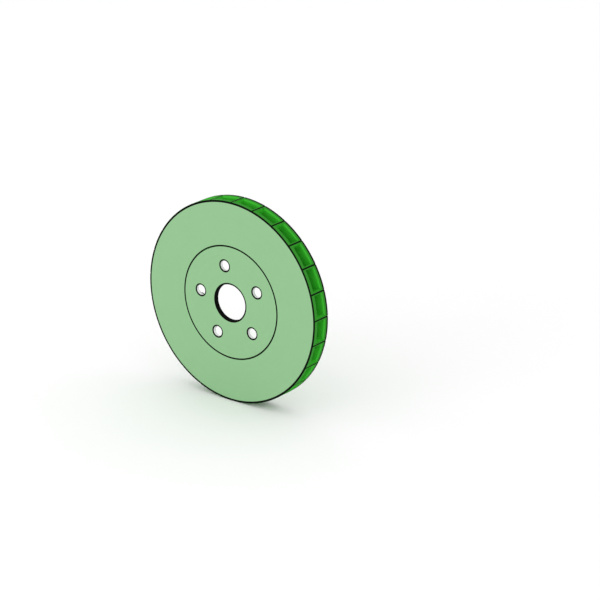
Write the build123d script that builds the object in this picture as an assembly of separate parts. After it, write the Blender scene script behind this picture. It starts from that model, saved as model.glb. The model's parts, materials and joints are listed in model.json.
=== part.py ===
"""Two-piece floating brake disc: a ventilated iron friction ring round a flat aluminium hat.

Units are millimetres.  The disc spins about +Y, and +Y points inboard, towards the car.
The origin is the centre of the hat's hub seat, so the hat plate lies between y = -HAT_PLATE_T
and y = 0.  Angles round the disc are measured in the XZ plane from +X towards +Z.
"""
import math
import os

from build123d import *

# ---------------------------------------------------------------- driving dimensions
DISC_R = 158.0              # outer radius of the friction ring
DISC_T = 32.0               # thickness over both friction faces
PLATE_T = 8.0               # thickness of each friction plate
RING_IN_R = 88.5            # inner radius of the friction ring
HAT_R = 87.5                # outer radius of the hat
HAT_PLATE_T = 6.5           # hat plate between the wheel face and the hub seat

HUB_BORE_R = 28.3           # centre bore that fits over a 56.1 mm hub pilot
STUD_COUNT = 5
STUD_PCR = 114.3 / 2        # radius of the stud circle
STUD_HOLE_R = 8.0
STUD_PHASE = 28.0           # angle of the first stud hole, degrees

VANE_COUNT = 25
VANE_PHASE = 2.2            # angle of the first vane, degrees
VANE_T = 5.0
VANE_IN_R = 101.0           # inner end of the vanes
RIM_GROOVE_W = 2.2          # axial groove across the rim in line with each vane
RIM_GROOVE_D = 0.9

DRIVE_COUNT = 10            # drive bobbins that carry the ring on the hat
DRIVE_PCR = 78.5            # radius of the circle through the bobbins
DRIVE_PHASE = STUD_PHASE + 180.0 / DRIVE_COUNT
FLOAT = 0.6                 # axial float of the ring, towards +Y

# ---------------------------------------------------------------- friction ring details
FACE_Y = -HAT_PLATE_T                       # outboard friction face, flush with the hat
BACK_Y = FACE_Y + DISC_T                    # inboard friction face
DUCT_Y0 = FACE_Y + PLATE_T                  # air duct between the plates
DUCT_Y1 = BACK_Y - PLATE_T
RIM_CHAMFER = 0.5
INNER_CHAMFER = 0.4
DUCT_LIP = 3.5                              # radius of the flare at the duct's mouths
VANE_ROOT_R = 2.0                           # fillet between a vane and a plate
EAR_T = 6.0
EAR_Y0 = (DUCT_Y0 + DUCT_Y1) / 2 - EAR_T / 2
EAR_Y1 = EAR_Y0 + EAR_T
EAR_W = 22.0
EAR_REACH = 5.5                             # how far an ear reaches inside the bobbin circle
EAR_IN_R = DRIVE_PCR - EAR_REACH            # open end of the ear's slot
EAR_CORNER_R = 3.0
EAR_ROOT_R = 98.5                           # outer end of the block that ties the ear to both plates
EAR_BAR_R = 97.5                            # outer end of the ear itself, inside that block
SLOT_CLEARANCE = 0.05                       # each side of a bobbin
SLOT_END_GAP = 0.7                          # cold gap past the bobbin, for the hat's own growth
SLOT_CORNER_R = 1.5

# ---------------------------------------------------------------- drive hardware details
BOBBIN_FLAT = 5.0                           # half the width across the flats
BOBBIN_R = 6.0
BOBBIN_FLANGE_R = 8.2
BOBBIN_FLANGE_T = 1.5
BOBBIN_BORE_R = 3.2
BOSS_Y = EAR_Y0 - BOBBIN_FLANGE_T           # top of the hat's bosses
SPRING_T = 0.4
SPRING_PRESSED_H = 1.0                      # height left when the ring has moved by its float
SPRING_H = SPRING_PRESSED_H + FLOAT         # height at rest
SPRING_IN_R = 6.3
SPRING_OUT_R = 8.1
SPRING_REST_GAP = 0.02                      # each side of the spring
SPRING_BLANK = 0.5                          # how far the bent strip reaches past the ring cut from it
SPRING_STEPS = 16                           # points along one bent strip
WASHER_Y = EAR_Y1 + SPRING_H                # also the inboard end of the bobbin
WASHER_T = 1.6
WASHER_R = 8.2
BOLT_SHANK_R = 2.95
BOLT_LENGTH = 18.0
BOLT_HEAD_R = 5.0
BOLT_HEAD_H = 6.0
BOLT_SOCKET_FLATS = 5.0
BOLT_SOCKET_D = 3.0
INSERT_R = 4.0
INSERT_BORE_R = 3.0
INSERT_L = 8.0
INSERT_SINK = 0.2                           # below the boss
EDGE = 0.4                                  # chamfer on turned hardware
OVERCUT = 1.0                               # how far a cutting shape reaches past a surface

# ---------------------------------------------------------------- hat details
HAT_EDGE = 0.5
BORE_CHAMFER = 0.5
SEAT_R = 70.0                               # outer radius of the hub seat
SEAT_FOOT = 1.5                             # slope at the foot of the hub seat
POCKET_FLOOR_Y = -2.2                       # weight-saving pockets between the bosses
WALL_FOOT = 1.0                             # slope at the foot of the rim wall
RIM_WALL_T = 2.6
BOSS_R = 8.3
BOSS_SINK = 1.0                             # how far a boss is rooted below the pocket floor
WEB_W = 12.5                                # web between a boss and the hub seat
STUD_FRONT_CHAMFER = 0.5
STUD_BACK_CHAMFER = 1.6


def place(shape, angle):
    """Turn a shape that was built on +X to its angle round the disc."""
    return Rot(0, -angle, 0) * shape


def drive_angles():
    """Angles of the drive bobbins, in degrees."""
    return [DRIVE_PHASE + 360.0 / DRIVE_COUNT * k for k in range(DRIVE_COUNT)]


def stud_angles():
    """Angles of the stud holes, in degrees."""
    return [STUD_PHASE + 360.0 / STUD_COUNT * k for k in range(STUD_COUNT)]


def vane_angles():
    """Angles of the vanes, in degrees."""
    return [VANE_PHASE + 360.0 / VANE_COUNT * k for k in range(VANE_COUNT)]


def turned(points, arc=360.0):
    """Revolve a closed outline of (radius, y) points about the spin axis, starting at +X."""
    outline = make_face(Polyline(*points, close=True))
    return revolve(outline, Axis.Y, revolution_arc=arc)


def tube(r_in, r_out, y0, y1):
    """A plain tube round the spin axis."""
    return turned([(r_in, y0), (r_out, y0), (r_out, y1), (r_in, y1)])


def rod(radius, y0, y1, at=0.0):
    """A plain rod along +Y whose axis crosses +X at the given radius."""
    middle = Pos(at, (y0 + y1) / 2, 0)
    return middle * Rot(90, 0, 0) * Cylinder(radius, y1 - y0)


def turned_at(points, at):
    """Revolve an outline of (radius, y) points about a line along +Y at x = at."""
    return Pos(at, 0, 0) * turned(points)


def slab(outline, y0, y1):
    """Extrude an outline drawn in the XZ plane from y0 to y1."""
    face = Plane.XZ.offset(-y1) * outline
    return extrude(face, amount=y1 - y0)


# ---------------------------------------------------------------- friction ring
def friction_plate(face_y, duct_y):
    """One friction plate between its friction face and the air duct."""
    radii = (RING_IN_R + DISC_R) / 2
    outline = Pos(radii, (face_y + duct_y) / 2) * Rectangle(DISC_R - RING_IN_R, PLATE_T)
    mouths = outline.vertices().filter_by(lambda v: abs(v.Y - duct_y) < PLATE_T / 2)
    outline = fillet(mouths, DUCT_LIP)
    inner = outline.vertices().sort_by_distance((RING_IN_R, face_y, 0))[:1]
    outline = chamfer(inner, INNER_CHAMFER)
    outer = outline.vertices().sort_by_distance((DISC_R, face_y, 0))[:1]
    return revolve(chamfer(outer, RIM_CHAMFER), Axis.Y)


def vane():
    """A straight radial vane with filleted roots and a rounded inner end, flat across the rim's mouths."""
    duct_h = DUCT_Y1 - DUCT_Y0
    middle_y = (DUCT_Y0 + DUCT_Y1) / 2
    root_w = VANE_T + 2 * VANE_ROOT_R
    side_w = VANE_ROOT_R + OVERCUT
    section = Rectangle(duct_h + 2 * OVERCUT, root_w)
    for s in (-1, 1):
        air = Rectangle(duct_h, side_w)
        near = air.vertices().filter_by(lambda v: v.Y * s < 0)
        section -= Pos(0, s * (VANE_T + side_w) / 2) * fillet(near, VANE_ROOT_R)
    across = Plane(origin=(VANE_IN_R, middle_y, 0), x_dir=(0, 1, 0), z_dir=(1, 0, 0))
    length = DISC_R - DUCT_LIP - VANE_IN_R
    bar = extrude(across * section, amount=length)
    nose_x = VANE_IN_R + root_w / 2
    plan = Pos(nose_x + length / 2, 0) * Rectangle(length, root_w) + Pos(nose_x, 0) * Circle(root_w / 2)
    end_l = 2 * DUCT_LIP + OVERCUT
    end = Pos(DISC_R + OVERCUT - end_l / 2, middle_y, 0) * Box(end_l, duct_h + 2 * DUCT_LIP, VANE_T)
    return (bar & slab(plan, DUCT_Y0 - OVERCUT, DUCT_Y1 + OVERCUT)) + end


def ear():
    """An inward ear that the bobbin's slot is cut in later."""
    length = EAR_BAR_R - EAR_IN_R
    outline = Pos(EAR_IN_R + length / 2, 0) * Rectangle(length, EAR_W)
    inner = outline.vertices().sort_by(Axis.X)[:2]
    return slab(fillet(inner, EAR_CORNER_R), EAR_Y0, EAR_Y1)


def ear_root():
    """The block across the air duct that ties an ear to both plates."""
    arc = math.degrees(EAR_W / RING_IN_R)
    block = turned([
        (RING_IN_R, DUCT_Y0 - DUCT_LIP),
        (EAR_ROOT_R, DUCT_Y0 - DUCT_LIP),
        (EAR_ROOT_R, DUCT_Y1 + DUCT_LIP),
        (RING_IN_R, DUCT_Y1 + DUCT_LIP),
    ], arc)
    return Rot(0, -arc / 2, 0) * block


def ear_slot():
    """The open slot in an ear that the bobbin's flats slide in."""
    end_x = DRIVE_PCR + BOBBIN_R + SLOT_END_GAP
    start_x = EAR_IN_R - OVERCUT
    length = end_x - start_x
    outline = Pos(start_x + length / 2, 0) * Rectangle(length, 2 * (BOBBIN_FLAT + SLOT_CLEARANCE))
    far = outline.vertices().sort_by(Axis.X)[-2:]
    return slab(fillet(far, SLOT_CORNER_R), EAR_Y0 - OVERCUT, EAR_Y1 + OVERCUT)


def rim_groove():
    """A shallow groove across the whole rim."""
    depth = RIM_GROOVE_D + OVERCUT
    middle = Pos(DISC_R - RIM_GROOVE_D + depth / 2, FACE_Y + DISC_T / 2, 0)
    return middle * Box(depth, DISC_T + 2 * OVERCUT, RIM_GROOVE_W)


def make_friction_ring():
    """Two plates, the vanes between them, and the slotted ears inside."""
    within_rim = tube(RING_IN_R, DISC_R, DUCT_Y0 - DUCT_LIP, DUCT_Y1 + DUCT_LIP)
    vanes = [place(vane(), a) & within_rim for a in vane_angles()]
    ears = [place(ear(), a) for a in drive_angles()]
    roots = [place(ear_root(), a) for a in drive_angles()]
    plates = [friction_plate(FACE_Y, DUCT_Y0), friction_plate(BACK_Y, DUCT_Y1)]
    ring = plates[0].fuse(plates[1], *vanes, *roots, *ears)
    slots = [place(ear_slot(), a) for a in drive_angles()]
    grooves = [place(rim_groove(), a) for a in vane_angles()]
    return ring.cut(*slots, *grooves)


# ---------------------------------------------------------------- hat
def hat_blank():
    """The turned hat: plate, hub seat, pocket ring and rim wall."""
    wall_r = HAT_R - RIM_WALL_T
    return turned([
        (HUB_BORE_R, FACE_Y + BORE_CHAMFER),
        (HUB_BORE_R + BORE_CHAMFER, FACE_Y),
        (HAT_R - HAT_EDGE, FACE_Y),
        (HAT_R, FACE_Y + HAT_EDGE),
        (HAT_R, BOSS_Y - EDGE),
        (HAT_R - EDGE, BOSS_Y),
        (wall_r, BOSS_Y),
        (wall_r, POCKET_FLOOR_Y + WALL_FOOT),
        (wall_r - WALL_FOOT, POCKET_FLOOR_Y),
        (SEAT_R + SEAT_FOOT, POCKET_FLOOR_Y),
        (SEAT_R, POCKET_FLOOR_Y + SEAT_FOOT),
        (SEAT_R, -EDGE),
        (SEAT_R - EDGE, 0.0),
        (HUB_BORE_R, 0.0),
    ])


def hat_boss():
    """A boss that one bobbin stands on, with a web to the hub seat."""
    base_y = POCKET_FLOOR_Y - BOSS_SINK
    boss = rod(BOSS_R, base_y, BOSS_Y, DRIVE_PCR)
    web_l = DRIVE_PCR - SEAT_R + BOSS_SINK
    web = Pos(DRIVE_PCR - web_l / 2, base_y / 2, 0) * Box(web_l, -base_y, WEB_W)
    return boss + web


def stud_hole():
    """A stud hole with a chamfer at each mouth."""
    return turned_at([
        (0.0, FACE_Y - OVERCUT),
        (STUD_HOLE_R + STUD_FRONT_CHAMFER + OVERCUT, FACE_Y - OVERCUT),
        (STUD_HOLE_R, FACE_Y + STUD_FRONT_CHAMFER),
        (STUD_HOLE_R, -STUD_BACK_CHAMFER),
        (STUD_HOLE_R + STUD_BACK_CHAMFER + OVERCUT, OVERCUT),
        (0.0, OVERCUT),
    ], STUD_PCR)


def make_hat():
    """The hat with its bosses, stud holes and blind holes for the threaded inserts."""
    within = tube(HUB_BORE_R, HAT_R, FACE_Y, BOSS_Y)
    bosses = [place(hat_boss(), a) & within for a in drive_angles()]
    hat = hat_blank().fuse(*bosses)
    studs = [place(stud_hole(), a) for a in stud_angles()]
    insert_y = BOSS_Y - INSERT_SINK - INSERT_L
    blind = [place(rod(INSERT_R, insert_y, BOSS_Y + OVERCUT, DRIVE_PCR), a) for a in drive_angles()]
    return hat.cut(*studs, *blind)


# ---------------------------------------------------------------- drive hardware
def bobbin():
    """A flanged drive bobbin with two flats that bear on the ear's slot."""
    blank = turned_at([
        (BOBBIN_BORE_R, BOSS_Y),
        (BOBBIN_FLANGE_R - EDGE, BOSS_Y),
        (BOBBIN_FLANGE_R, BOSS_Y + EDGE),
        (BOBBIN_FLANGE_R, EAR_Y0),
        (BOBBIN_R, EAR_Y0),
        (BOBBIN_R, WASHER_Y - EDGE),
        (BOBBIN_R - EDGE, WASHER_Y),
        (BOBBIN_BORE_R, WASHER_Y),
    ], DRIVE_PCR)
    barrel_l = WASHER_Y - EAR_Y0
    side_w = BOBBIN_FLANGE_R
    sides = [
        Pos(DRIVE_PCR, EAR_Y0 + barrel_l / 2, s * (BOBBIN_FLAT + side_w / 2))
        * Box(2 * BOBBIN_FLANGE_R, barrel_l, side_w)
        for s in (-1, 1)
    ]
    return blank.cut(*sides)


def wave_spring():
    """A wave spring at its height at rest, between the ear and the flat washer."""
    y0 = EAR_Y1 + SPRING_REST_GAP
    y1 = WASHER_Y - SPRING_REST_GAP
    swing = (y1 - y0 - SPRING_T) / 2
    middle = (y0 + y1 - SPRING_T) / 2
    half = SPRING_OUT_R + SPRING_BLANK
    low = []
    for k in range(SPRING_STEPS + 1):
        x = half * (2 * k / SPRING_STEPS - 1)
        low.append((x, middle + swing * math.cos(2 * math.pi * x / SPRING_OUT_R)))
    high = [(x, y + SPRING_T) for x, y in low]
    edge = Wire([Spline(*low), Line(low[-1], high[-1]), Spline(*high[::-1]), Line(high[0], low[0])])
    strip = extrude(make_face(edge), amount=half, both=True)
    band = tube(SPRING_IN_R, SPRING_OUT_R, y0 - OVERCUT, y1 + OVERCUT)
    return Pos(DRIVE_PCR, 0, 0) * (strip & band)


def flat_washer():
    """The flat washer that closes the bobbin and backs the spring."""
    top = WASHER_Y + WASHER_T
    return turned_at([
        (BOBBIN_BORE_R, WASHER_Y),
        (WASHER_R, WASHER_Y),
        (WASHER_R, top - EDGE),
        (WASHER_R - EDGE, top),
        (BOBBIN_BORE_R, top),
    ], DRIVE_PCR)


def drive_bolt():
    """A socket-head cap screw from the inboard side into the hat's insert."""
    seat = WASHER_Y + WASHER_T
    top = seat + BOLT_HEAD_H
    tip = seat - BOLT_LENGTH
    blank = turned_at([
        (0.0, tip),
        (BOLT_SHANK_R - EDGE, tip),
        (BOLT_SHANK_R, tip + EDGE),
        (BOLT_SHANK_R, seat),
        (BOLT_HEAD_R, seat),
        (BOLT_HEAD_R, top - EDGE),
        (BOLT_HEAD_R - EDGE, top),
        (0.0, top),
    ], DRIVE_PCR)
    hexagon = Pos(DRIVE_PCR, 0) * RegularPolygon(BOLT_SOCKET_FLATS / 2, 6, major_radius=False)
    return blank - slab(hexagon, top - BOLT_SOCKET_D, top + OVERCUT)


def threaded_insert():
    """A steel insert that gives the aluminium hat a hard thread."""
    top = BOSS_Y - INSERT_SINK
    return turned_at([
        (INSERT_BORE_R, top - INSERT_L),
        (INSERT_R, top - INSERT_L),
        (INSERT_R, top),
        (INSERT_BORE_R, top),
    ], DRIVE_PCR)


# ---------------------------------------------------------------- nodes
def write(node, shape):
    """Write one node's solids to its STEP file."""
    export_step(shape, os.path.join("parts", node + ".step"))


def group(make):
    """The same solid at every drive position, kept as separate solids in one node."""
    return Compound(children=[place(make(), a) for a in drive_angles()])


def main():
    """Write every node of the disc."""
    os.makedirs("parts", exist_ok=True)
    write("friction_ring", make_friction_ring())
    write("hat", make_hat())
    for number, angle in enumerate(drive_angles(), start=1):
        write(f"drive_bobbin_{number:02d}", place(bobbin(), angle))
        write(f"wave_spring_{number:02d}", place(wave_spring(), angle))
    write("flat_washers", group(flat_washer))
    write("drive_bolts", group(drive_bolt))
    write("threaded_inserts", group(threaded_insert))


main()
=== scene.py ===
"""Looks of the floating brake disc: coatings, hardware finishes, springs, floor, light and camera.

Everything is in metres in the CAD frame: the disc spins about +Y and +Y points inboard.
"""
import json
import math

import bmesh
import bpy
from mathutils import Matrix, Vector


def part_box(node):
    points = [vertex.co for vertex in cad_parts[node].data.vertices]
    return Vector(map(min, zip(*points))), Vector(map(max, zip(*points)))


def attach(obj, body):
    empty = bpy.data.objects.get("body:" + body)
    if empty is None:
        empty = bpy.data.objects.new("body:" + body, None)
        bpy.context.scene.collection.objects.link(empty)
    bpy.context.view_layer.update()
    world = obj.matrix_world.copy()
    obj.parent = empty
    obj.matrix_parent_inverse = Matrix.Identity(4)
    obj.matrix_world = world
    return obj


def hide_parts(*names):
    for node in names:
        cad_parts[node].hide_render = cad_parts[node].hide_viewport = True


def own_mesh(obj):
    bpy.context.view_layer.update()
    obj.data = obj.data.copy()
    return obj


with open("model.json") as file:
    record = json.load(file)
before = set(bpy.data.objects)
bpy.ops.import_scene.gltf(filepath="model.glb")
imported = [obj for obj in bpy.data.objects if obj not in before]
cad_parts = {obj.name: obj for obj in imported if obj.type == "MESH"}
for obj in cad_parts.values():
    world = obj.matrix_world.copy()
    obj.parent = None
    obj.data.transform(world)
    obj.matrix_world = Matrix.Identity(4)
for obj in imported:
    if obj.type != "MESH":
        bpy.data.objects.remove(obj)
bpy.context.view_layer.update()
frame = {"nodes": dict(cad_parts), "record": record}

MM = 0.001

# ---------------------------------------------------------------- sizes read from the frame
RING_LOW, RING_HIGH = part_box("friction_ring")
HAT_LOW, HAT_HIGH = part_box("hat")
DISC_R = (RING_HIGH.z - RING_LOW.z) / 2
FACE_Y = RING_LOW.y
BACK_Y = RING_HIGH.y
HAT_R = (HAT_HIGH.z - HAT_LOW.z) / 2
MOUNTS = {m["name"]: m for m in frame["record"]["mounts"]}
BORE_R = MOUNTS["hub_pilot_bore"]["dims"]["r_mm"] * MM
STUD_PCR = MOUNTS["wheel_studs"]["dims"]["pcd_mm"] / 2 * MM
STUD_COUNT = MOUNTS["wheel_studs"]["dims"]["count"]
STUD_HOLE_R = MOUNTS["wheel_studs"]["dims"]["hole_r_mm"] * MM
OPENINGS = {o["name"]: o["box_m"] for o in frame["record"]["physics"]["openings"]}
STUD_LOW, STUD_HIGH = OPENINGS["stud_hole_1"]
STUD_PHASE = math.atan2(STUD_LOW[2] + STUD_HIGH[2], STUD_LOW[0] + STUD_HIGH[0])
BOBBIN_LOW, BOBBIN_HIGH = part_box("drive_bobbin_01")
BOBBIN_CENTRE = (BOBBIN_LOW + BOBBIN_HIGH) / 2
DRIVE_COUNT = sum(node.startswith("drive_bobbin") for node in frame["nodes"])
DRIVE_PCR = math.hypot(BOBBIN_CENTRE.x, BOBBIN_CENTRE.z)
DRIVE_PHASE = math.atan2(BOBBIN_CENTRE.z, BOBBIN_CENTRE.x)
BOLTS_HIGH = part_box("drive_bolts")[1]
HEAD_FOOT_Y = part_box("flat_washers")[1].y

# ---------------------------------------------------------------- CAD sizes that the frame doesn't state
VANE_COUNT = 25
VANE_PHASE = math.radians(2.2)
JOINT_GAP = 1.0 * MM            # between the hat's edge and the ring's
RING_IN_R = HAT_R + JOINT_GAP
BOLT_HEAD_R = 5.0 * MM

# ---------------------------------------------------------------- sizes of the finish
LIP = 6.5 * MM                  # how far from each friction face the ducts' painted light (a brighter green) starts
DUCT_MOUTH = 0.8 * MM           # how far in from the rim it starts
WALL_SKIN = 0.1 * MM            # how far past a hole's radius its bare wall counts
FINE_MARK = 0.9 * MM            # spacing of the turning marks
BROAD_MARK = 5.0 * MM           # spacing of the broader tone rings
RELIEF = 0.02 * MM              # height of the turning marks
CAST_RELIEF = 8.0               # the cast grain's height, in turning marks
FACE_LINE = 3.3 * MM            # dark band on both faces along the outer edge
RIM_FRONT_LINE = 0.3 * MM       # dark band on the rim along its outboard edge
RIM_BACK_LINE = 3.8 * MM        # dark band on the rim along its inboard edge
RING_JOINT_LINE = 0.9 * MM      # dark band on the ring round the joint with the hat
JOINT_LINE_DEPTH = 4.0 * MM     # how far into the joint the ring's dark edge reaches
HAT_JOINT_LINE = 0.6 * MM       # dark band on the hat at that joint
BORE_LINE = 2.6 * MM            # dark chamfer and band round the bore
STUD_LINE = 2.3 * MM            # dark chamfer and band round each stud hole
HOLE_LINE_DEPTH = 0.7 * MM      # how far into a stud hole its dark edge reaches
GROOVE_HALF_W = 1.15 * MM       # half the width of the dark line across the rim at each vane
GROOVE_DEPTH = 1.1 * MM         # how far in from the rim that line reaches
FACE_SKIN = 0.25 * MM           # how deep a machined face's coating reaches
SOFT = 0.08 * MM                # softness of a colour boundary
FACE_CLOUD = 30.0 * MM          # size of the uneven tone on the machined faces
CAST_CLOUD = 14.0 * MM          # size of the uneven tone on the cast skin
CAST_GRAIN = 1.6 * MM           # size of the cast grain
STEEL_CLOUD = 2.0 * MM          # size of the uneven tone on the steel hardware
STRIP_CLOUD = 1.2 * MM          # size of the uneven tone on the springs' strip
SCRATCH = 0.25 * MM             # size of the scratches on the steel hardware
SCRATCH_RELIEF = 0.01 * MM      # height of those scratches
KNURL_COUNT = 44.0              # ridges round a bolt head
KNURL_HALF_H = 2.4 * MM         # half of the knurled height
KNURL_DEPTH = 0.12 * MM         # height of the ridges
KNURL_WEAR = (0.6, 0.3)         # where up a ridge the wear is half grown, and how gradually it grows

# ---------------------------------------------------------------- noise
PLAIN = 2.0                     # octaves of scratches and of the floor's tone
CLOUDY = 3.0                    # octaves of cloudy tone and of turning marks
FINE = 4.0                      # octaves of grain and of the steel's tone
EVEN = 0.5                      # each octave's strength against the one before it
COARSE = 0.6                    # the same for cast grain
PASSES_SHARE = 0.5              # the broad rings' part in the turning marks' tone
FACE_CLOUD_SHARE = 0.4          # the cloud's part in the machined faces' tone
CAST_CLOUD_SHARE = 0.7          # the cloud's part in the cast skin's tone

# ---------------------------------------------------------------- roughness, least and most
CAST_ROUGHNESS = (0.5, 0.7)
TURNED_ROUGHNESS = (0.38, 0.52)
OXIDE_ROUGHNESS = (0.35, 0.5)
INK_ROUGHNESS = 0.9
FLOOR_ROUGHNESS = 0.9
COATING_SPECULAR = 0.08

# ---------------------------------------------------------------- colours, linear RGB
LIGHT_GREEN = (0.261, 0.484, 0.249, 1.0)
LIGHT_GREEN_2 = (0.291, 0.526, 0.279, 1.0)
# painted shade: a darker copy of the faces' green, laid on the rim, the duct lips and the hat's pockets as
# their cast skin's coating colour
PAINTED_SHADE_GREEN = (0.020, 0.270, 0.012, 1.0)
PAINTED_SHADE_GREEN_2 = (0.034, 0.232, 0.022, 1.0)
# painted light: a brighter green on the duct walls, to offset the shade inside the ducts
DUCT_PAINTED_LIGHT_GREEN = (0.040, 0.560, 0.024, 1.0)
DUCT_PAINTED_LIGHT_GREEN_2 = (0.062, 0.480, 0.040, 1.0)
INK = (0.001, 0.001, 0.001, 1.0)
BARE_ALUMINIUM = (0.82, 0.83, 0.82, 1.0)
OXIDE = (0.020, 0.021, 0.023, 1.0)
OXIDE_2 = (0.045, 0.045, 0.046, 1.0)
WORN_STEEL = (0.10, 0.10, 0.105, 1.0)
FLOOR_PALE = (0.955, 0.955, 0.955, 1.0)
FLOOR_PALER = (0.975, 0.975, 0.975, 1.0)
WHITE = (1.0, 1.0, 1.0, 1.0)

# the steel finishes: darker tone, lighter tone, least and most roughness
STEELS = {
    "turned_steel": ((0.52, 0.53, 0.55, 1.0), (0.66, 0.67, 0.68, 1.0), (0.22, 0.38)),
    "zinc_plate": ((0.58, 0.59, 0.57, 1.0), (0.72, 0.72, 0.68, 1.0), (0.28, 0.45)),
    "insert_steel": ((0.42, 0.42, 0.42, 1.0), (0.50, 0.50, 0.49, 1.0), (0.35, 0.50)),
    "spring_steel": ((0.30, 0.29, 0.27, 1.0), (0.42, 0.40, 0.36, 1.0), (0.25, 0.40)),
}


class Shader:
    """One material, and short calls that add nodes to it."""

    def __init__(self, name):
        self.material = bpy.data.materials.new(name)
        self.material.use_nodes = True
        self.tree = self.material.node_tree
        self.surface = self.tree.nodes["Principled BSDF"]
        self.point = self.add("ShaderNodeTexCoord").outputs["Object"]

    def feed(self, socket, value):
        """Link a socket to an output, or set its value."""
        if isinstance(value, bpy.types.NodeSocket):
            self.tree.links.new(value, socket)
        else:
            socket.default_value = value

    def add(self, kind, settings=None, **inputs):
        """Add a node; inputs are given by socket name."""
        node = self.tree.nodes.new(kind)
        for name, value in (settings or {}).items():
            setattr(node, name, value)
        for name, value in inputs.items():
            self.feed(node.inputs[name], value)
        return node

    def math(self, operation, *values):
        """A Math node's result."""
        node = self.add("ShaderNodeMath", {"operation": operation})
        for socket, value in zip(node.inputs, values):
            self.feed(socket, value)
        return node.outputs[0]

    def below(self, value, limit, soft=SOFT):
        """1 where value is under limit, 0 where it is over."""
        ramp = self.add("ShaderNodeMapRange", {"interpolation_type": "SMOOTHSTEP"})
        for socket, given in zip(ramp.inputs, (value, limit - soft, limit + soft, 1.0, 0.0)):
            self.feed(socket, given)
        return ramp.outputs[0]

    def above(self, value, limit, soft=SOFT):
        """1 where value is over limit, 0 where it is under."""
        return self.math("SUBTRACT", 1.0, self.below(value, limit, soft))

    def near(self, value, target, width):
        """1 where value is within width of target."""
        return self.below(self.math("ABSOLUTE", self.math("SUBTRACT", value, target)), width)

    def both(self, *masks):
        """1 where every mask is 1."""
        result = masks[0]
        for mask in masks[1:]:
            result = self.math("MULTIPLY", result, mask)
        return result

    def either(self, *masks):
        """1 where any mask is 1."""
        result = masks[0]
        for mask in masks[1:]:
            result = self.math("MAXIMUM", result, mask)
        return result

    def mix(self, factor, first, second):
        """A colour that goes from first to second. The node's sockets share names, so they go by number."""
        node = self.add("ShaderNodeMix", {"data_type": "RGBA"})
        self.feed(node.inputs[0], factor)
        self.feed(node.inputs[6], first)
        self.feed(node.inputs[7], second)
        return node.outputs[2]

    def blend(self, factor, first, second):
        """A number that goes from first to second."""
        node = self.add("ShaderNodeMix", {"data_type": "FLOAT"})
        self.feed(node.inputs[0], factor)
        self.feed(node.inputs[2], first)
        self.feed(node.inputs[3], second)
        return node.outputs[0]

    def length(self, first, second):
        """The length of two perpendicular sides' diagonal."""
        squares = [self.math("MULTIPLY", side, side) for side in (first, second)]
        return self.math("SQRT", self.math("ADD", *squares))

    def place(self):
        """The surface point in the CAD frame: y, distance from the spin axis and angle round it."""
        x, y, z = self.add("ShaderNodeSeparateXYZ", Vector=self.point).outputs
        return y, self.length(x, z), self.math("ARCTAN2", z, x)

    def folded(self, angle, count, phase):
        """The angle from the nearest of count equal directions round the axis."""
        pitch = 2 * math.pi / count
        turned = self.math("ADD", self.math("SUBTRACT", angle, phase), pitch / 2)
        return self.math("SUBTRACT", self.math("FLOORED_MODULO", turned, pitch), pitch / 2)

    def around(self, radius, angle, count, phase, circle):
        """Where the point lies from the nearest of count axes on a circle: sideways, and outward."""
        toward = self.folded(angle, count, phase)
        across = self.math("MULTIPLY", radius, self.math("SINE", toward))
        along = self.math("SUBTRACT", self.math("MULTIPLY", radius, self.math("COSINE", toward)), circle)
        return across, along

    def noise(self, size, detail=PLAIN, roughness=EVEN):
        """Even noise over the surface, with features about size metres across."""
        node = self.add(
            "ShaderNodeTexNoise", Vector=self.point, Scale=1 / size, Detail=detail, Roughness=roughness)
        return node.outputs[0]

    def rings(self, radius, pitch):
        """Noise that changes only with the distance from the axis, as turning marks do."""
        along = self.math("DIVIDE", radius, pitch)
        node = self.add("ShaderNodeTexNoise", {"noise_dimensions": "1D"}, W=along, Scale=1.0, Detail=CLOUDY)
        return node.outputs[0]

    def bump(self, pattern, height):
        """A relief as high as the pattern's value times height, in metres."""
        return self.add("ShaderNodeBump", Height=pattern, Distance=height, Strength=1.0).outputs[0]

    def finish(self, **inputs):
        """Set the Principled shader's inputs and give the material back."""
        for name, value in inputs.items():
            self.feed(self.surface.inputs[name.replace("_", " ")], value)
        return self.material


# ---------------------------------------------------------------- coatings
def machined_green(s, radius):
    """Light green coating over a turned face: its colour, and the pattern of its turning marks."""
    marks = s.rings(radius, FINE_MARK)
    passes = s.rings(radius, BROAD_MARK)
    cloud = s.noise(FACE_CLOUD, CLOUDY)
    tone = s.blend(FACE_CLOUD_SHARE, s.blend(PASSES_SHARE, marks, passes), cloud)
    return s.mix(tone, LIGHT_GREEN, LIGHT_GREEN_2), marks


def cast_skin(s):
    """The skin of a casting: the tone of its coating, and the pattern of its grain."""
    grain = s.noise(CAST_GRAIN, FINE, COARSE)
    return s.blend(CAST_CLOUD_SHARE, grain, s.noise(CAST_CLOUD, CLOUDY)), grain


def coating(s, colour, ink, on_face, marks, grain):
    """Finish a coated piece: turning marks on its machined faces, cast grain elsewhere, dull ink lines."""
    rough = s.blend(on_face, s.blend(grain, *CAST_ROUGHNESS), s.blend(marks, *TURNED_ROUGHNESS))
    relief = s.blend(on_face, s.math("MULTIPLY", grain, CAST_RELIEF), marks)
    return s.finish(
        Base_Color=colour,
        Roughness=s.blend(ink, rough, INK_ROUGHNESS),
        Specular_IOR_Level=COATING_SPECULAR,
        Normal=s.bump(relief, RELIEF),
    )


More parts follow.
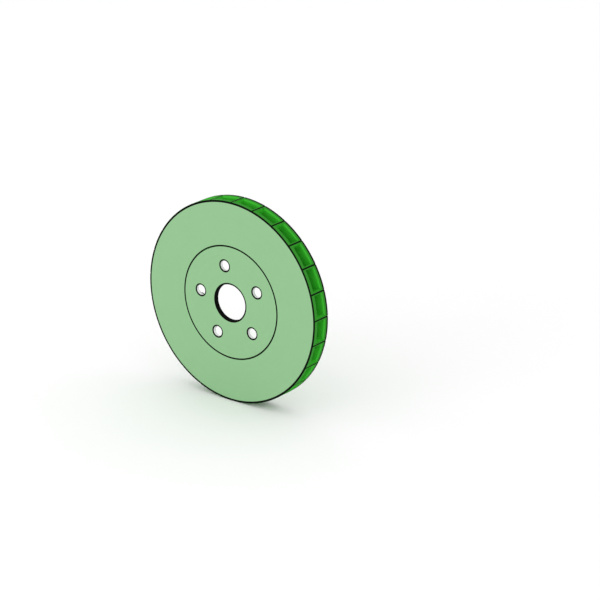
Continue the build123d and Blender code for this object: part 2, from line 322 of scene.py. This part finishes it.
def ring_coating():
    """The friction ring: light machined faces, a rim in painted shade (a darker green on the cast skin),
    ducts in painted light (a brighter green against their shade), black edges and grooves.
    """
    s = Shader("ring_coating")
    y, radius, angle = s.place()
    light, marks = machined_green(s, radius)
    tone, grain = cast_skin(s)
    # painted light: this mask marks the duct walls, which get a brighter green to offset the shade inside the
    # ducts
    duct_painted_light = s.both(s.below(radius, DISC_R - DUCT_MOUTH), s.above(y, FACE_Y + LIP), s.below(y, BACK_Y - LIP))
    # painted shade: the rim's cast skin gets the darker copy of the faces' green
    dark = s.mix(duct_painted_light, s.mix(tone, PAINTED_SHADE_GREEN, PAINTED_SHADE_GREEN_2), s.mix(tone, DUCT_PAINTED_LIGHT_GREEN, DUCT_PAINTED_LIGHT_GREEN_2))
    on_face = s.either(s.near(y, FACE_Y, FACE_SKIN), s.near(y, BACK_Y, FACE_SKIN))
    on_rim_edge = s.either(s.below(y, FACE_Y + RIM_FRONT_LINE), s.above(y, BACK_Y - RIM_BACK_LINE))
    outer_edge = s.both(s.above(radius, DISC_R - FACE_LINE), s.either(on_face, on_rim_edge))
    at_joint = s.either(s.below(y, FACE_Y + JOINT_LINE_DEPTH), s.above(y, BACK_Y - RING_JOINT_LINE))
    inner_edge = s.both(s.below(radius, RING_IN_R + RING_JOINT_LINE), at_joint)
    vane_arc = s.math("MULTIPLY", s.folded(angle, VANE_COUNT, VANE_PHASE), DISC_R)
    groove = s.both(s.near(vane_arc, 0.0, GROOVE_HALF_W), s.above(radius, DISC_R - GROOVE_DEPTH))
    ink = s.either(outer_edge, inner_edge, groove)
    colour = s.mix(ink, s.mix(on_face, dark, light), INK)
    return coating(s, colour, ink, on_face, marks, grain)


def hat_coating():
    """The hat: light machined faces, pockets in painted shade (a darker green on the cast skin), black bore
    and edges, bare stud holes.
    """
    s = Shader("hat_coating")
    y, radius, angle = s.place()
    light, marks = machined_green(s, radius)
    tone, grain = cast_skin(s)
    # painted shade: the hat's cast surfaces get the darker copy of the faces' green
    dark = s.mix(tone, PAINTED_SHADE_GREEN, PAINTED_SHADE_GREEN_2)
    on_face = s.either(s.near(y, FACE_Y, FACE_SKIN), s.above(y, -FACE_SKIN))
    from_stud = s.length(*s.around(radius, angle, STUD_COUNT, STUD_PHASE, STUD_PCR))
    stud_wall = s.both(s.below(from_stud, STUD_HOLE_R + WALL_SKIN), s.above(y, FACE_Y + HOLE_LINE_DEPTH))
    stud_edge = s.both(s.below(from_stud, STUD_HOLE_R + STUD_LINE), s.below(y, FACE_Y + HOLE_LINE_DEPTH))
    bore_edge = s.below(radius, BORE_R + BORE_LINE)
    joint_edge = s.above(radius, HAT_R - HAT_JOINT_LINE)
    ink = s.either(stud_edge, bore_edge, joint_edge)
    colour = s.mix(ink, s.mix(on_face, dark, light), INK)
    return coating(s, s.mix(stud_wall, colour, BARE_ALUMINIUM), ink, on_face, marks, grain)


# ---------------------------------------------------------------- hardware finishes
def metal(name, cloud_size=STEEL_CLOUD):
    """A turned or rolled steel finish with uneven tone and roughness, and fine scratches."""
    darker, lighter, roughness = STEELS[name]
    s = Shader(name)
    cloud = s.noise(cloud_size, FINE)
    return s.finish(
        Base_Color=s.mix(cloud, darker, lighter),
        Metallic=1.0,
        Roughness=s.blend(cloud, *roughness),
        Normal=s.bump(s.noise(SCRATCH), SCRATCH_RELIEF),
    )


def knurled_black():
    """Black oxide on the drive bolts, with knurling round their heads that is worn on its ridges."""
    s = Shader("black_oxide")
    y, radius, angle = s.place()
    cloud = s.noise(STEEL_CLOUD, FINE)
    across, along = s.around(radius, angle, DRIVE_COUNT, DRIVE_PHASE, DRIVE_PCR)
    ridges = s.math("SINE", s.math("MULTIPLY", s.math("ARCTAN2", across, along), KNURL_COUNT))
    head_side = s.above(s.length(across, along), BOLT_HEAD_R - WALL_SKIN, WALL_SKIN / 2)
    knurl = s.both(head_side, s.near(y, (BOLTS_HIGH.y + HEAD_FOOT_Y) / 2, KNURL_HALF_H))
    wear = s.both(knurl, s.above(ridges, *KNURL_WEAR))
    return s.finish(
        Base_Color=s.mix(wear, s.mix(cloud, OXIDE, OXIDE_2), WORN_STEEL),
        Metallic=1.0,
        Roughness=s.blend(cloud, *OXIDE_ROUGHNESS),
        Normal=s.bump(s.math("MULTIPLY", ridges, knurl), KNURL_DEPTH),
    )


def give(node, material):
    """Assign one material to every slot of a CAD node."""
    for slot in frame["nodes"][node].material_slots:
        slot.link = "OBJECT"
        slot.material = material


def finish_hardware():
    """Materials of the bobbins, washers, bolts and inserts."""
    turned_steel = metal("turned_steel")
    for node in frame["nodes"]:
        if node.startswith("drive_bobbin"):
            give(node, turned_steel)
    give("flat_washers", metal("zinc_plate"))
    give("drive_bolts", knurled_black())
    give("threaded_inserts", metal("insert_steel"))


# ---------------------------------------------------------------- wave springs
SPRING_WAVES = 3
SPRING_STRIP_T = 0.4 * MM
SPRING_STRIP_W = 1.8 * MM
SPRING_CORNER = 0.1 * MM        # chamfer of the strip's edges
SPRING_STEPS = 96               # sections round one spring
SPRING_GAP = 0.02 * MM          # clear space at the waves' tops and bottoms


def wave_spring(node):
    """A wave spring ring, built round the CAD spring's own centre and nearly as high as it."""
    low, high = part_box(node)
    centre = (low + high) / 2
    outer = max(high.x - low.x, high.z - low.z) / 2
    inner = outer - SPRING_STRIP_W
    swing = (high.y - low.y - SPRING_STRIP_T) / 2 - SPRING_GAP
    half = SPRING_STRIP_T / 2
    corner = SPRING_CORNER
    section = [
        (inner + corner, -half), (outer - corner, -half), (outer, -half + corner), (outer, half - corner),
        (outer - corner, half), (inner + corner, half), (inner, half - corner), (inner, -half + corner),
    ]
    mesh = bmesh.new()
    loops = []
    for k in range(SPRING_STEPS):
        turn = 2 * math.pi * k / SPRING_STEPS
        lift = swing * math.cos(SPRING_WAVES * turn)
        outward = Vector((math.cos(turn), 0, math.sin(turn)))
        loops.append([
            mesh.verts.new(centre + r * outward + Vector((0, lift + h, 0)))
            for r, h in section
        ])
    count = len(section)
    for k, loop in enumerate(loops):
        after = loops[(k + 1) % SPRING_STEPS]
        for i in range(count):
            j = (i + 1) % count
            mesh.faces.new((loop[i], loop[j], after[j], after[i]))
    bmesh.ops.recalc_face_normals(mesh, faces=mesh.faces)
    data = bpy.data.meshes.new(node + "_coil")
    mesh.to_mesh(data)
    mesh.free()
    piece = bpy.data.objects.new(node + "_strip", data)
    bpy.context.scene.collection.objects.link(piece)
    return piece


def make_springs():
    """One wave spring for each CAD spring, which it stands in for, with a mesh of its own."""
    steel = metal("spring_steel", STRIP_CLOUD)
    for node in sorted(n for n in frame["nodes"] if n.startswith("wave_spring")):
        piece = wave_spring(node)
        piece.data.materials.append(steel)
        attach(piece, "hat")
        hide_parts(node)
        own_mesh(piece)


# ---------------------------------------------------------------- stage
CAMERA_AZIMUTH = math.radians(37.3)
CAMERA_ELEVATION = math.radians(20.4)
CAMERA_DISTANCE = 20.6 * DISC_R
DISC_SHARE = 0.3535                 # the disc's diameter, as a share of the picture's width
AIM_RIGHT = 0.658 * DISC_R          # how far the view's middle lies to the right of the face's centre
AIM_UP = 0.026 * DISC_R             # and above it
SENSOR = 36.0                       # the camera's sensor width, in millimetres
SIGHT = 100.0                       # how far the camera sees
FLOOR_R = 30.0
FLOOR_SIDES = 128
FLOOR_CLOUD = 0.6                   # size of the uneven tone on the floor
SURROUND_STRENGTH = 1.03            # brightness of the white surround
KEY_PLACE = Vector((-0.8, -3.0, 1.0))
KEY_SIZE = 2.0
KEY_POWER = 12.0


def make_floor():
    """A pale floor that the disc stands on."""
    mesh = bmesh.new()
    bmesh.ops.create_circle(mesh, cap_ends=True, radius=FLOOR_R, segments=FLOOR_SIDES)
    data = bpy.data.meshes.new("floor")
    mesh.to_mesh(data)
    mesh.free()
    floor = bpy.data.objects.new("floor", data)
    floor.location.z = RING_LOW.z
    s = Shader("floor_paint")
    paint = s.mix(s.noise(FLOOR_CLOUD), FLOOR_PALE, FLOOR_PALER)
    data.materials.append(s.finish(Base_Color=paint, Roughness=FLOOR_ROUGHNESS))
    bpy.context.scene.collection.objects.link(floor)


def make_light():
    """Even studio light: a white surround and one large soft key in front, a little to the left."""
    world = bpy.data.worlds.new("studio")
    bpy.context.scene.world = world
    world.use_nodes = True
    background = world.node_tree.nodes["Background"]
    background.inputs["Color"].default_value = WHITE
    background.inputs["Strength"].default_value = SURROUND_STRENGTH
    key = bpy.data.lights.new("key", "AREA")
    key.shape = "DISK"
    key.size = KEY_SIZE
    key.energy = KEY_POWER
    lamp = bpy.data.objects.new("key", key)
    lamp.location = KEY_PLACE
    lamp.rotation_mode = "QUATERNION"
    lamp.rotation_quaternion = (-KEY_PLACE).to_track_quat("-Z", "Y")
    bpy.context.scene.collection.objects.link(lamp)


def make_camera():
    """A long lens that sees the disc's outboard side from the right and above."""
    a, e = CAMERA_AZIMUTH, CAMERA_ELEVATION
    back = Vector((math.sin(a) * math.cos(e), -math.cos(a) * math.cos(e), math.sin(e)))
    right = Vector((math.cos(a), math.sin(a), 0.0))
    up = back.cross(right)
    face_centre = Vector((0.0, FACE_Y, 0.0))
    data = bpy.data.cameras.new("camera")
    data.sensor_width = SENSOR
    data.lens = DISC_SHARE * SENSOR * CAMERA_DISTANCE / (2 * DISC_R)
    data.clip_end = SIGHT
    camera = bpy.data.objects.new("camera", data)
    turn = Matrix((right, up, back)).transposed().to_4x4()
    camera.matrix_world = Matrix.Translation(
        face_centre + right * AIM_RIGHT + up * AIM_UP + back * CAMERA_DISTANCE) @ turn
    bpy.context.scene.collection.objects.link(camera)
    bpy.context.scene.camera = camera


def main():
    """Dress the frame."""
    bpy.context.scene.view_settings.view_transform = "Standard"
    make_camera()
    give("friction_ring", ring_coating())
    give("hat", hat_coating())
    finish_hardware()
    make_springs()
    make_floor()
    make_light()


main()
